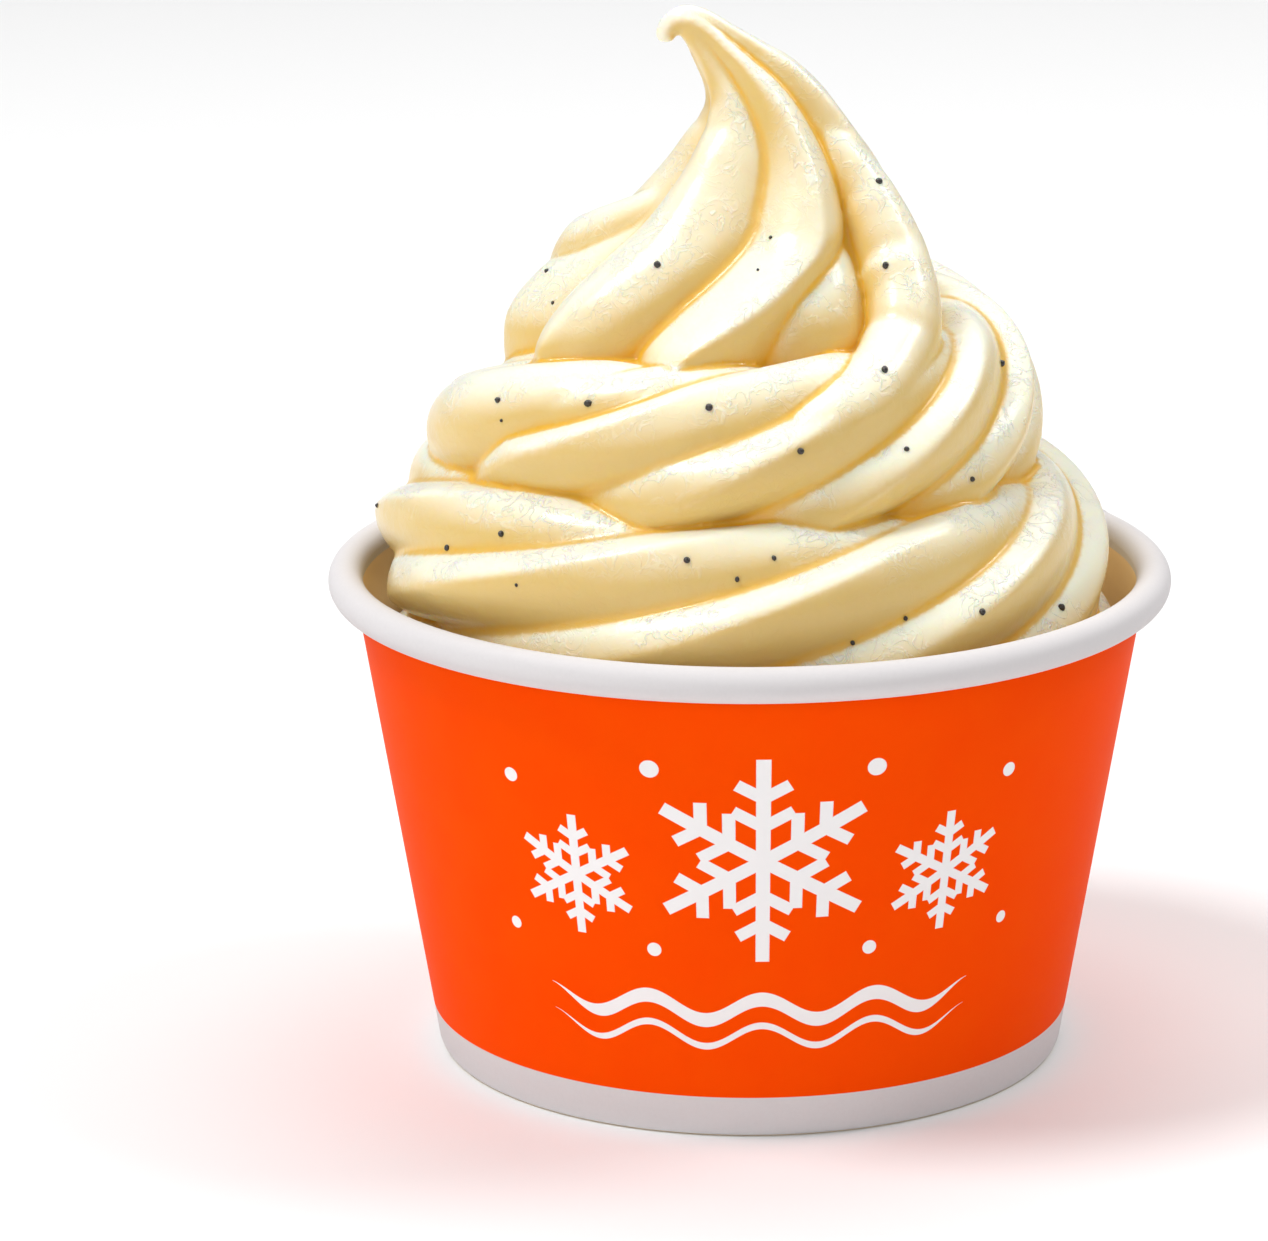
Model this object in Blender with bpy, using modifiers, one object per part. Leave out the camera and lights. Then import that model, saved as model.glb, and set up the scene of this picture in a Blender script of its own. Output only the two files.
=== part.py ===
"""A paper cup of frozen yogurt: a rolled-rim cup filled with a piped swirl that ends in a curled tip.

Sizes are in millimetres and turned into metres by MM. The cup stands on Z = 0 with its axis on +Z,
and -Y is the front. Azimuths are measured from the front, positive towards +X.
"""

import math
import random

import bmesh
import bpy
from mathutils import Vector
from mathutils.bvhtree import BVHTree

MM = 0.001
FIT_GAP = 0.3

# Paper cup
RIM_RADIUS = 47.5
ROLL_RADIUS = 1.95
ROLL_HEIGHT = 54.4
WALL_TOP_RADIUS = 44.7
WALL_FOOT_RADIUS = 35.6
PAPER = 0.5
HEM_HEIGHT = 5.6
HEM_SLOT = PAPER + 2 * FIT_GAP
FOOT_ROUND = 0.3
BOTTOM_HEIGHT = 6.0
FLANGE_FOOT = 0.9
CUP_STEPS = 72
ROLL_POINTS = 15

# Nozzle: the rope of yogurt has this many ridges round it
LOBES = 6
RIDGE_DEPTH = 0.27
RIDGE_ROUNDING = 1.55
LOBE_PHASES = (0.0, 0.13, 0.33, 0.5, 0.67, 0.87)

# The coil, laid from the left side of the cup and rising anticlockwise:
# (turns, outer radius, height of the rope's centre, half its thickness, how far its top has slumped)
COIL = (
    (-1.00, 40.5, 38.0, 12.0, 0.0),
    (-0.75, 41.5, 38.5, 12.0, 0.0),
    (-0.50, 43.4, 41.5, 12.0, 0.0),
    (-0.25, 43.6, 50.0, 12.0, 0.0),
    (0.00, 42.6, 59.6, 12.2, 0.25),
    (0.25, 42.3, 56.8, 12.2, 0.0),
    (0.50, 40.8, 56.3, 12.2, 0.0),
    (0.75, 38.5, 64.0, 12.2, 0.4),
    (0.88, 36.0, 67.5, 11.5, 0.5),
    (1.00, 35.8, 74.5, 12.0, 0.5),
    (1.25, 35.6, 74.2, 12.0, 0.15),
    (1.50, 33.8, 74.6, 12.4, 0.0),
    (1.75, 30.5, 80.0, 11.5, 0.1),
    (2.00, 25.0, 84.0, 9.0, 0.4),
)
COIL_START = -0.75
COIL_END = 1.95
ROPE_WIDTH_SHARE = 0.8
RINGS_PER_TURN = 36
TURNS_PER_PIECE = 0.45
PLUG_SHRINK = 0.6

# Twist of the rope in turns: TWIST_START + TWIST_RATE * turns + TWIST_GAIN * turns^2
TWIST_START = -0.128
TWIST_RATE = 1.323
TWIST_GAIN = 0.205

# The last pull of the nozzle, from its base up to the curled tip: (x, height, radius) of each section
CAP = (
    (-3.4, 76.0, 24.2),
    (-3.2, 80.0, 24.9),
    (-3.0, 84.0, 24.7),
    (-1.8, 88.0, 23.2),
    (0.2, 92.0, 20.3),
    (2.0, 95.6, 17.2),
    (2.8, 99.5, 14.3),
    (3.0, 103.0, 11.8),
    (2.7, 106.5, 9.4),
    (1.8, 110.0, 7.2),
    (0.3, 113.0, 5.4),
    (-1.8, 115.6, 3.9),
    (-4.4, 117.7, 2.8),
    (-6.8, 118.9, 2.1),
    (-8.7, 118.6, 1.6),
    (-9.7, 117.3, 1.2),
    (-9.5, 116.2, 0.9),
)
CAP_PEAK = 13
CAP_RINGS = 26
# Azimuth of each ridge at the cap's base and near its top
CAP_RIDGES_LOW = (-100, -54, -16, 60, 120, 190)
CAP_RIDGES_HIGH = (-110, -50, 14, 70, 130, 190)
CAP_UNTWIST_HEIGHTS = (80.0, 100.0)
# Sections of the cap are level up to the first height, and square to its path from the second
CAP_LEAN_HEIGHTS = (102.0, 114.0)

# Ridges that cross from one turn to the next: (azimuth, crest radius, height, half width)
TAIL_RIDGE = (
    (-4, 29.0, 74.0, 2.0),
    (8, 31.6, 78.2, 3.4),
    (18, 32.4, 81.6, 4.6),
    (26, 31.6, 83.8, 5.3),
    (34, 29.8, 85.5, 5.7),
    (43, 26.6, 87.7, 5.8),
    (53, 23.8, 90.4, 5.6),
    (62, 21.2, 93.2, 5.4),
    (68, 18.4, 96.8, 5.0),
    (71, 15.4, 100.5, 4.2),
    (72, 12.2, 104.5, 3.0),
)
VALLEY_RIDGE = (
    (4, 20.0, 77.0, 6.0),
    (12, 21.6, 83.0, 7.0),
    (20, 21.4, 87.5, 7.0),
    (27, 19.6, 91.5, 6.6),
    (32, 16.4, 95.5, 5.0),
    (36, 12.5, 99.0, 3.0),
)
BACK_RIDGE = (
    (-128, 25.0, 78.0, 6.0),
    (-120, 25.4, 84.0, 6.4),
    (-112, 24.0, 88.5, 6.4),
    (-106, 20.0, 92.2, 5.6),
    (-100, 14.0, 96.2, 4.2),
    (-96, 8.5, 99.5, 2.5),
)
SHOULDER_RIDGE = (
    (-116, 31.0, 65.0, 4.0),
    (-103, 34.2, 68.2, 5.2),
    (-90, 36.0, 70.8, 5.9),
    (-76, 36.2, 73.2, 6.1),
    (-62, 35.2, 75.4, 6.0),
    (-48, 32.8, 77.4, 5.6),
    (-33, 29.3, 79.0, 4.8),
    (-16, 24.5, 79.6, 3.0),
)
RIDGE_STEPS = 12
RIDGE_SIDES = 14

# Vanilla specks: (azimuth, height, radius) at the front, and a scatter over the back
FRONT_SPECKS = (
    (60, 101, 0.42), (45, 93, 0.42), (-35, 93, 0.42), (9, 96, 0.22), (3, 93, 0.22), (-85, 86, 0.22),
    (29, 84, 0.42), (70, 81, 0.42), (-55, 79, 0.42), (-53, 77, 0.22), (-35, 80, 0.42), (-8, 81, 0.42),
    (9, 77, 0.42), (30, 76, 0.32), (47, 71, 0.32), (-86, 63, 0.32), (-45, 66, 0.42), (-57, 63, 0.42),
    (-10, 66, 0.42), (4, 66, 0.32), (-2, 64, 0.32), (-37, 62, 0.22), (25, 59, 0.32), (37, 59, 0.42),
    (59, 56, 0.42), (16, 57, 0.32),
)
SPECK_RADII = (0.42, 0.32, 0.42, 0.22)
SPECK_SEED = 7
BACK_SPECKS = 30
BACK_SPAN = (95, 265)
BACK_HEIGHTS = (57, 102)
GOLDEN_ANGLE = 137.5

# Filling under and inside the coil: (radius, height); a radius of None follows the wall
CORE = ((0, 98), (9, 94), (17, 86), (24, 77), (29, 68), (32, 60), (35, 53), (None, 46))
FILL_FOOT = BOTTOM_HEIGHT + PAPER + FIT_GAP


def wall_radius(height):
    """Outer radius of the paper wall at a height."""
    return WALL_FOOT_RADIUS + (WALL_TOP_RADIUS - WALL_FOOT_RADIUS) * height / ROLL_HEIGHT


def fill_radius(height):
    """Largest radius that the yogurt can have inside the wall at a height."""
    return wall_radius(height) - PAPER - FIT_GAP


def clear_scene():
    for obj in list(bpy.data.objects):
        bpy.data.objects.remove(obj, do_unlink=True)


def make_material(name, colour, roughness):
    material = bpy.data.materials.new(name)
    material.use_nodes = True
    shader = material.node_tree.nodes["Principled BSDF"]
    shader.inputs["Base Color"].default_value = (*colour, 1.0)
    shader.inputs["Roughness"].default_value = roughness
    shader.inputs["Metallic"].default_value = 0.0
    return material


def add_mesh(name, mesh, collection, material):
    obj = bpy.data.objects.new(name, mesh)
    obj.data.materials.append(material)
    collection.objects.link(obj)
    return obj


def turned(name, outline, closed, collection, material):
    """A solid of revolution: its outline runs down the outer side, as (radius, height) pairs."""
    mesh = bpy.data.meshes.new(name)
    points = [(radius * MM, 0.0, height * MM) for radius, height in outline]
    edges = [(i, i + 1) for i in range(len(points) - 1)]
    if closed:
        edges.append((len(points) - 1, 0))
    mesh.from_pydata(points, edges, [])
    obj = add_mesh(name, mesh, collection, material)
    screw = obj.modifiers.new("turn", "SCREW")
    screw.steps = CUP_STEPS
    screw.render_steps = CUP_STEPS
    screw.use_merge_vertices = True
    screw.merge_threshold = 0.00001
    screw.use_smooth_shade = True
    return obj


def arc(centre, radius, start, end, count):
    """Points on a circle in the (radius, height) plane, with the angles in degrees."""
    angles = [math.radians(start + (end - start) * i / (count - 1)) for i in range(count)]
    return [(centre[0] + radius * math.cos(a), centre[1] + radius * math.sin(a)) for a in angles]


def make_cup_wall(collection, material):
    """The printed paper wall: rolled out at the rim, and folded in and up at the foot as a hem."""
    roll_centre = (RIM_RADIUS - ROLL_RADIUS, ROLL_HEIGHT)
    outline = arc(roll_centre, ROLL_RADIUS, 180, -125, ROLL_POINTS)
    outline += [(wall_radius(height), height) for height in (30.0, HEM_HEIGHT, FOOT_ROUND)]
    outline += [(wall_radius(0) - FOOT_ROUND, 0.0)]

    def slot_outer(height):
        return wall_radius(height) - PAPER

    def hem_outer(height):
        return slot_outer(height) - HEM_SLOT

    outline += [(hem_outer(0) - PAPER + FOOT_ROUND, 0.0), (hem_outer(0) - PAPER, FOOT_ROUND)]
    outline += [(hem_outer(HEM_HEIGHT) - PAPER, HEM_HEIGHT), (hem_outer(HEM_HEIGHT), HEM_HEIGHT)]
    outline += [(hem_outer(PAPER), PAPER), (slot_outer(PAPER), PAPER)]
    outline += [(slot_outer(height), height) for height in (HEM_HEIGHT, 30.0, ROLL_HEIGHT - 2)]
    return turned("cup_wall", outline, True, collection, material)


def make_cup_bottom(collection, material):
    """The bottom disc, with a flange that hangs into the slot of the wall's hem."""
    top = BOTTOM_HEIGHT + PAPER

    def flange_outer(height):
        return wall_radius(height) - PAPER - FIT_GAP

    outline = [(0.0, top), (flange_outer(top) - FOOT_ROUND, top)]
    outline += [(flange_outer(top), top - FOOT_ROUND), (flange_outer(FLANGE_FOOT), FLANGE_FOOT)]
    outline += [(flange_outer(FLANGE_FOOT) - PAPER, FLANGE_FOOT)]
    outline += [(flange_outer(BOTTOM_HEIGHT) - PAPER, BOTTOM_HEIGHT), (0.0, BOTTOM_HEIGHT)]
    return turned("cup_bottom", outline, False, collection, material)


def smooth_table(table, at):
    """Reads a table of rows at a value of its first column, on a Catmull-Rom curve through the rows."""
    last = len(table) - 1
    row = max(i for i in range(last) if i == 0 or table[i][0] <= at)
    before, start, end, after = (table[min(max(row + k, 0), last)] for k in (-1, 0, 1, 2))
    t = (at - start[0]) / (end[0] - start[0])
    return [
        0.5 * (2 * b + (c - a) * t + (2 * a - 5 * b + 4 * c - d) * t**2 + (3 * b - a - 3 * c + d) * t**3)
        for a, b, c, d in zip(before[1:], start[1:], end[1:], after[1:])
    ]


def numbered(rows):
    """The rows with their places put in front, so that smooth_table can read them."""
    return [(i, *row) for i, row in enumerate(rows)]


def ridge_share(phase):
    """Share of the full radius at a phase of one ridge: 1 on the crest, least in the valley at 0.5."""
    from_crest = 2 * min(phase, 1 - phase)
    return 1 - RIDGE_DEPTH * from_crest**RIDGE_ROUNDING


def azimuth_point(azimuth, radius, height, centre_x=0.0):
    angle = math.radians(azimuth)
    return Vector((centre_x + radius * math.sin(angle), -radius * math.cos(angle), height))


def loft(name, rings, collection, material):
    """A closed tube through rings of points, with a fan of faces over each end."""
    work = bmesh.new()
    rows = [[work.verts.new(point * MM) for point in ring] for ring in rings]
    sides = len(rows[0])
    for low, high in zip(rows, rows[1:]):
        for i in range(sides):
            j = (i + 1) % sides
            work.faces.new((low[i], low[j], high[j], high[i]))
    for row in (rows[0], rows[-1]):
        middle = work.verts.new(sum((v.co for v in row), Vector()) / sides)
        for i in range(sides):
            work.faces.new((row[i], row[(i + 1) % sides], middle))
    bmesh.ops.recalc_face_normals(work, faces=work.faces)
    mesh = bpy.data.meshes.new(name)
    work.to_mesh(mesh)
    work.free()
    return add_mesh(name, mesh, collection, material)


def rope_ring(turns, scale=1.0):
    """One section of the coiled rope, kept inside the paper wall where it touches it."""
    outer, height, half_thickness, slump = smooth_table(COIL, turns)
    half_width = half_thickness * ROPE_WIDTH_SHARE
    twist = TWIST_START + TWIST_RATE * turns + TWIST_GAIN * turns**2
    azimuth = -90 + 360 * turns
    ring = []
    for lobe in range(LOBES):
        for phase in LOBE_PHASES:
            angle = 2 * math.pi * (twist + (lobe + phase) / LOBES)
            share = scale * ridge_share(phase)
            lowered = slump * max(share * math.sin(angle), 0.0)
            z = height + half_thickness * (share * math.sin(angle) - lowered)
            radius = outer - half_width + half_width * (share * math.cos(angle) - lowered)
            ring.append(azimuth_point(azimuth, min(radius, fill_radius(z) - FIT_GAP), z))
    return ring


def make_coil(collection, material):
    """The coil as short overlapping pieces, each with a smaller plug that reaches into the next."""
    pieces = round((COIL_END - COIL_START) / TURNS_PER_PIECE)
    rings = round(TURNS_PER_PIECE * RINGS_PER_TURN)
    step = 1 / RINGS_PER_TURN
    for piece in range(pieces):
        start = COIL_START + piece * TURNS_PER_PIECE
        end = start + TURNS_PER_PIECE
        sections = [rope_ring(start - step, PLUG_SHRINK)]
        sections += [rope_ring(start + i * step) for i in range(rings)]
        sections += [rope_ring(end), rope_ring(end + step, PLUG_SHRINK)]
        loft(f"coil_{piece}", sections, collection, material)


def ease(value, span):
    """0 below a span of values, 1 above it and a smooth step between."""
    t = min(max((value - span[0]) / (span[1] - span[0]), 0.0), 1.0)
    return t * t * (3 - 2 * t)


def cap_ridges(height):
    """Azimuths of the cap's ridges at a height, which turn as they come down onto the coil."""
    t = ease(height, CAP_UNTWIST_HEIGHTS)
    return [a + (b - a) * t for a, b in zip(CAP_RIDGES_LOW, CAP_RIDGES_HIGH)]


def make_cap(collection, material):
    """The last pull: one ridged section drawn along a path in the XZ plane that hooks over at its end."""
    table = numbered(CAP)
    length = len(CAP) - 1
    rings = []
    for i in range(CAP_RINGS + 1):
        at = length * i / CAP_RINGS
        x, height, radius = smooth_table(table, at)
        behind = smooth_table(table, max(at - 0.01, 0))
        ahead = smooth_table(table, min(at + 0.01, length))
        path = Vector((ahead[0] - behind[0], 0.0, ahead[1] - behind[1])).normalized()
        along = Vector((0, 0, 1)).lerp(path, 1.0 if at > CAP_PEAK else ease(height, CAP_LEAN_HEIGHTS))
        side = Vector((0, 1, 0)).cross(along).normalized()
        crests = cap_ridges(height if at < CAP_PEAK else CAP_UNTWIST_HEIGHTS[1])
        ring = []
        for lobe, crest in enumerate(crests):
            following = crests[(lobe + 1) % LOBES] + (360 if lobe == LOBES - 1 else 0)
            for phase in LOBE_PHASES:
                azimuth = math.radians(crest + (following - crest) * phase)
                reach = radius * ridge_share(phase)
                outward = side * math.sin(azimuth) + Vector((0, -1, 0)) * math.cos(azimuth)
                ring.append(Vector((x, 0.0, height)) + outward * reach)
        rings.append(ring)
    return loft("cap", rings, collection, material)


def make_ridge(name, rows, collection, material):
    """One rounded ridge along a rising path, tapered to nothing at both ends."""
    table = numbered(rows)
    length = len(rows) - 1
    crests = []
    for i in range(RIDGE_STEPS + 1):
        azimuth, radius, height, half_width = smooth_table(table, length * i / RIDGE_STEPS)
        crests.append((azimuth_point(azimuth, radius, height), half_width))
    rings = []
    for i, (crest, half_width) in enumerate(crests):
        along = crests[min(i + 1, RIDGE_STEPS)][0] - crests[max(i - 1, 0)][0]
        along.normalize()
        outward = Vector((crest.x, crest.y, 0)).normalized()
        outward = (outward - along * outward.dot(along)).normalized()
        across = along.cross(outward)
        centre = crest - half_width * outward
        angles = [2 * math.pi * k / RIDGE_SIDES for k in range(RIDGE_SIDES)]
        rings.append([centre + half_width * (outward * math.cos(a) + across * math.sin(a)) for a in angles])
    return loft(name, rings, collection, material)


def make_core(collection, material):
    """The yogurt that fills the cup and the middle of the coil."""
    outline = [(fill_radius(height) if radius is None else radius, height) for radius, height in CORE]
    outline += [(fill_radius(FILL_FOOT), FILL_FOOT), (0, FILL_FOOT)]
    return turned("frozen_yogurt", outline, False, collection, material)


def speck_places():
    """Azimuth, height and radius of every vanilla speck: the front ones as read off, the rest scattered."""
    places = list(FRONT_SPECKS)
    scatter = random.Random(SPECK_SEED)
    first, last = BACK_SPAN
    low, high = BACK_HEIGHTS
    for i in range(BACK_SPECKS):
        azimuth = first + (i * GOLDEN_ANGLE) % (last - first)
        height = low + (high - low) * (i + scatter.random()) / BACK_SPECKS
        places.append((azimuth, height, SPECK_RADII[i % len(SPECK_RADII)]))
    return places


def make_specks(swirl, collection, material):
    """Vanilla specks as small balls, half sunk where a level ray towards the axis meets the swirl."""
    surface = BVHTree.FromObject(swirl, bpy.context.evaluated_depsgraph_get())
    for i, (azimuth, height, radius) in enumerate(speck_places()):
        outside = azimuth_point(azimuth, RIM_RADIUS, height) * MM
        inward = azimuth_point(azimuth, -1, 0)
        place = surface.ray_cast(outside, inward)[0]
        if place is None:
            continue
        work = bmesh.new()
        bmesh.ops.create_icosphere(work, subdivisions=1, radius=radius * MM)
        bmesh.ops.translate(work, verts=work.verts, vec=place)
        mesh = bpy.data.meshes.new(f"speck_{i}")
        work.to_mesh(mesh)
        work.free()
        add_mesh(f"speck_{i}", mesh, collection, material)


def fill_cavities(mesh):
    """Drops every shell but the largest, so that pockets sealed inside the yogurt are filled."""
    work = bmesh.new()
    work.from_mesh(mesh)
    waiting = set(work.verts)
    shells = []
    while waiting:
        shell = []
        edge = [waiting.pop()]
        while edge:
            vert = edge.pop()
            shell.append(vert)
            joined = {link.other_vert(vert) for link in vert.link_edges} & waiting
            waiting -= joined
            edge.extend(joined)
        shells.append(shell)
    shells.sort(key=len)
    for shell in shells[:-1]:
        bmesh.ops.delete(work, geom=shell, context="VERTS")
    bmesh.ops.triangulate(work, faces=work.faces)
    work.to_mesh(mesh)
    work.free()


def fuse(base, pieces):
    """Joins a collection of pieces onto the base with one Boolean union, then removes them."""
    union = base.modifiers.new("fuse", "BOOLEAN")
    union.operation = "UNION"
    union.operand_type = "COLLECTION"
    union.collection = pieces
    union.solver = "MANIFOLD"
    graph = bpy.context.evaluated_depsgraph_get()
    mesh = bpy.data.meshes.new_from_object(base.evaluated_get(graph))
    base.modifiers.clear()
    base.data = mesh
    fill_cavities(mesh)
    for obj in list(pieces.objects):
        bpy.data.objects.remove(obj, do_unlink=True)
    bpy.data.collections.remove(pieces)


def main():
    clear_scene()
    scene = bpy.context.scene
    product = bpy.data.collections.new("frozen_yogurt_cup")
    swirl = bpy.data.collections.new("swirl_pieces")
    specks = bpy.data.collections.new("specks")
    scene.collection.children.link(product)
    scene.collection.children.link(swirl)
    scene.collection.children.link(specks)

    board = make_material("printed_paper", (0.93, 0.10, 0.005), 0.45)
    plain_board = make_material("plain_paper", (0.88, 0.88, 0.87), 0.55)
    yogurt = make_material("frozen_yogurt", (0.93, 0.83, 0.60), 0.35)

    make_cup_wall(product, board)
    make_cup_bottom(product, plain_board)
    core = make_core(product, yogurt)
    make_coil(swirl, yogurt)
    make_cap(swirl, yogurt)
    make_ridge("tail_ridge", TAIL_RIDGE, swirl, yogurt)
    make_ridge("valley_ridge", VALLEY_RIDGE, swirl, yogurt)
    make_ridge("back_ridge", BACK_RIDGE, swirl, yogurt)
    make_ridge("shoulder_ridge", SHOULDER_RIDGE, swirl, yogurt)
    fuse(core, swirl)
    make_specks(core, specks, yogurt)
    fuse(core, specks)


main()
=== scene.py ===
# %% [markdown]
# # A paper cup of vanilla frozen yogurt
# A ridged rope of soft frozen yogurt is piped into a paper cup in rising turns, and its last pull is drawn
# up to a tip that curls over. This lesson builds the visible model round a fixed CAD frame: first the
# view, then the swirl, its vanilla grains, the rolled paper wall, the finishes, and last the studio.
# The CAD frame is loaded first, because every piece below takes its place and its size from it.

# %% Load the CAD frame
import math
import random

import bmesh
import bpy
import numpy as np
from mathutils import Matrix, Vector
from mathutils.bvhtree import BVHTree


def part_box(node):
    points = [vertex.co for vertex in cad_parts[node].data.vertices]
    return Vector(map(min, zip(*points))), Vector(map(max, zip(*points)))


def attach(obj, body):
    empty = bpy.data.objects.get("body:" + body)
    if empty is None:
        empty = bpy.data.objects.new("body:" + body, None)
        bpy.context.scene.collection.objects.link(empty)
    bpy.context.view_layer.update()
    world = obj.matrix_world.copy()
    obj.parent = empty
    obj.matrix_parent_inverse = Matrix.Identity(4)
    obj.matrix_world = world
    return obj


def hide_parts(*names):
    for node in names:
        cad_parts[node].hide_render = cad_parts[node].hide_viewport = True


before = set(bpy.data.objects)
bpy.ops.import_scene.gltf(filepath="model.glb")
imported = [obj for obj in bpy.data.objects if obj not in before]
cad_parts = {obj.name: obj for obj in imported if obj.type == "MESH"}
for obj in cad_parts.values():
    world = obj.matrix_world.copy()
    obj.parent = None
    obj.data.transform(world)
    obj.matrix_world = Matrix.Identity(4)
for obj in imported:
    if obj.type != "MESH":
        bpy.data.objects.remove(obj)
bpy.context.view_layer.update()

MM = 0.001
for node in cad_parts:
    low, high = ([round(value / MM, 1) for value in corner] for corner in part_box(node))
    print("CAD node", node, "from", low, "to", high)

# %% [markdown]
# ## The camera
# The rim, the foot and the print of the cup give the view: a long lens, some 650 mm away and 15.6
# degrees above level. The cup stands a little right of the middle of the picture, and a sideways shift
# of the lens puts it there without turning the camera, so that the cup's sides stay true.

# %% Place the camera
PICTURE_WIDTH = 1268
CAMERA_DISTANCE = 0.650
CAMERA_ELEVATION = math.radians(15.6)
AIM_HEIGHT = 0.0488
FOCAL_PIXELS = 5740
SHIFT_PIXELS = 115.7

camera_data = bpy.data.cameras.new("camera")
camera = bpy.data.objects.new("camera", camera_data)
bpy.context.scene.collection.objects.link(camera)
camera.location = (
    0,
    -CAMERA_DISTANCE * math.cos(CAMERA_ELEVATION),
    AIM_HEIGHT + CAMERA_DISTANCE * math.sin(CAMERA_ELEVATION),
)
camera.rotation_euler = (math.radians(90) - CAMERA_ELEVATION, 0, 0)
camera_data.sensor_width = 36
camera_data.lens = FOCAL_PIXELS / PICTURE_WIDTH * camera_data.sensor_width
camera_data.shift_x = -SHIFT_PIXELS / PICTURE_WIDTH
camera_data.clip_start = 0.01
bpy.context.scene.camera = camera
print("lens", round(camera_data.lens, 1), "mm")

# %% [markdown]
# ## Working by hand, in code
# A few small helpers stand for what the hand does all the time: letting go of everything, picking up
# one piece, and finishing it with a modifier that is applied at once.


# %% Helpers for modelling
def let_go():
    """Nothing is selected, and Blender is in object mode."""
    if bpy.context.mode != "OBJECT":
        bpy.ops.object.mode_set(mode="OBJECT")
    bpy.ops.object.select_all(action="DESELECT")


def pick_up(piece):
    let_go()
    piece.select_set(True)
    bpy.context.view_layer.objects.active = piece


def finish_with(piece, kind, **settings):
    """Adds a modifier to the piece and applies it."""
    pick_up(piece)
    modifier = piece.modifiers.new(kind.lower(), kind)
    for setting, value in settings.items():
        setattr(modifier, setting, value)
    bpy.ops.object.modifier_apply(modifier=modifier.name)


def triangles(piece):
    return sum(len(face.vertices) - 2 for face in piece.data.polygons)


def wear(piece, material):
    """Gives the piece this material, and only this one."""
    piece.data.materials.clear()
    piece.data.materials.append(material)


# %% [markdown]
# ## The yogurt's forms
# The swirl has one rule for its whole length: a nozzle with six notches gives a rope with six ridges,
# and the rope is laid down in turns that rise and shrink. So the rope is swept: at every small step
# there is one ring of points, and its place, size and twist are read from a short table with a smooth
# curve through its rows. The lowest turns sit in the cup, so a ring is kept inside the paper wall. All
# lengths in the tables are in millimetres.

# %% The cup's inside, which the yogurt fills
WALL_FOOT_RADIUS = 35.6
WALL_TOP_RADIUS = 44.7
ROLL_HEIGHT = 54.4
PAPER = 0.5
FIT_GAP = 0.3
FILL_FOOT = 6.8


def wall_radius(height):
    """Outer radius of the paper wall at a height."""
    return WALL_FOOT_RADIUS + (WALL_TOP_RADIUS - WALL_FOOT_RADIUS) * height / ROLL_HEIGHT


def fill_radius(height):
    """Largest radius that the yogurt can have inside the wall."""
    return wall_radius(height) - PAPER - FIT_GAP


print("the cup is", round(2 * fill_radius(ROLL_HEIGHT), 1), "mm wide inside at the rim")


# %% Reading a table smoothly
def smooth_table(table, at):
    """The row of a table at a value of its first column, on a smooth curve through the rows."""
    last = len(table) - 1
    row = max(i for i in range(last) if i == 0 or table[i][0] <= at)
    before, start, end, after = (table[min(max(row + k, 0), last)] for k in (-1, 0, 1, 2))
    t = (at - start[0]) / (end[0] - start[0])
    return [
        0.5 * (2 * b + (c - a) * t + (2 * a - 5 * b + 4 * c - d) * t**2 + (3 * b - a - 3 * c + d) * t**3)
        for a, b, c, d in zip(before[1:], start[1:], end[1:], after[1:])
    ]


def numbered(rows):
    """The rows with their number in front, as the column that smooth_table reads by."""
    return [(i, *row) for i, row in enumerate(rows)]


def ease(value, start, end):
    """A smooth step from 0 at the start to 1 at the end."""
    t = min(max((value - start) / (end - start), 0.0), 1.0)
    return t * t * (3 - 2 * t)


def azimuth_point(azimuth, radius, height):
    """A point by its azimuth in degrees, which is 0 at the front and grows to the right."""
    angle = math.radians(azimuth)
    return Vector((radius * math.sin(angle), -radius * math.cos(angle), height))


# %% [markdown]
# A tube of rings starts as a flat grid. Each row of the grid is laid on one ring, as a sheet is wrapped
# round a form, the seam is merged, and the two ends are filled. That keeps neat rows of faces along
# the rope, which a sculpted lump would not have.


# %% Wrapping a grid round rings
WELD_DISTANCE = 0.001 * MM


def wrap_grid(name, rings):
    sides, rows = len(rings[0]), len(rings)
    let_go()
    bpy.ops.mesh.primitive_grid_add(x_subdivisions=sides, y_subdivisions=rows - 1, size=1)
    piece = bpy.context.object
    piece.name = name
    places = [point * MM for ring in rings for point in (*ring, ring[0])]
    piece.data.vertices.foreach_set("co", np.array(places, np.float32).ravel())
    bpy.ops.object.mode_set(mode="EDIT")
    bpy.ops.mesh.select_all(action="SELECT")
    bpy.ops.mesh.remove_doubles(threshold=WELD_DISTANCE)
    bpy.ops.mesh.fill_holes(sides=0)
    bpy.ops.mesh.normals_make_consistent(inside=False)
    bpy.ops.object.mode_set(mode="OBJECT")
    print(name, "has", len(piece.data.polygons), "faces")
    return piece


# %% [markdown]
# ## The ridges and the coil
# Between two crests the section dips in a curve, and the bottom of the dip need not be halfway: in the
# coil it lies nearer to the lower crest, so a ridge has a broad lower face and a narrow upper one.
# Where the next turn rests on the rope, its top is pressed flat and the valleys there are shallow.
# The twist makes the ridges lean across the turns. One ridge is lifted a little where the coil
# climbs from the first turn to the second, as it is in the picture.

# %% The section of the rope
LOBES = 6
RIDGE_DEPTH = 0.27
RIDGE_ROUNDING = 1.3
RIDGE_POINTS = 16
PHASES = [i / RIDGE_POINTS for i in range(RIDGE_POINTS)]


def ridge_share(phase, valley_at, pressed=0.0):
    """Share of the full radius: 1 on the crests at phases 0 and 1, and least in the valley between."""
    slope = min(phase / valley_at, (1 - phase) / (1 - valley_at))
    return 1 - RIDGE_DEPTH * (1 - pressed) * slope**RIDGE_ROUNDING


print("a valley is", round(RIDGE_DEPTH * 100), "% of the rope's radius deep")

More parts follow.
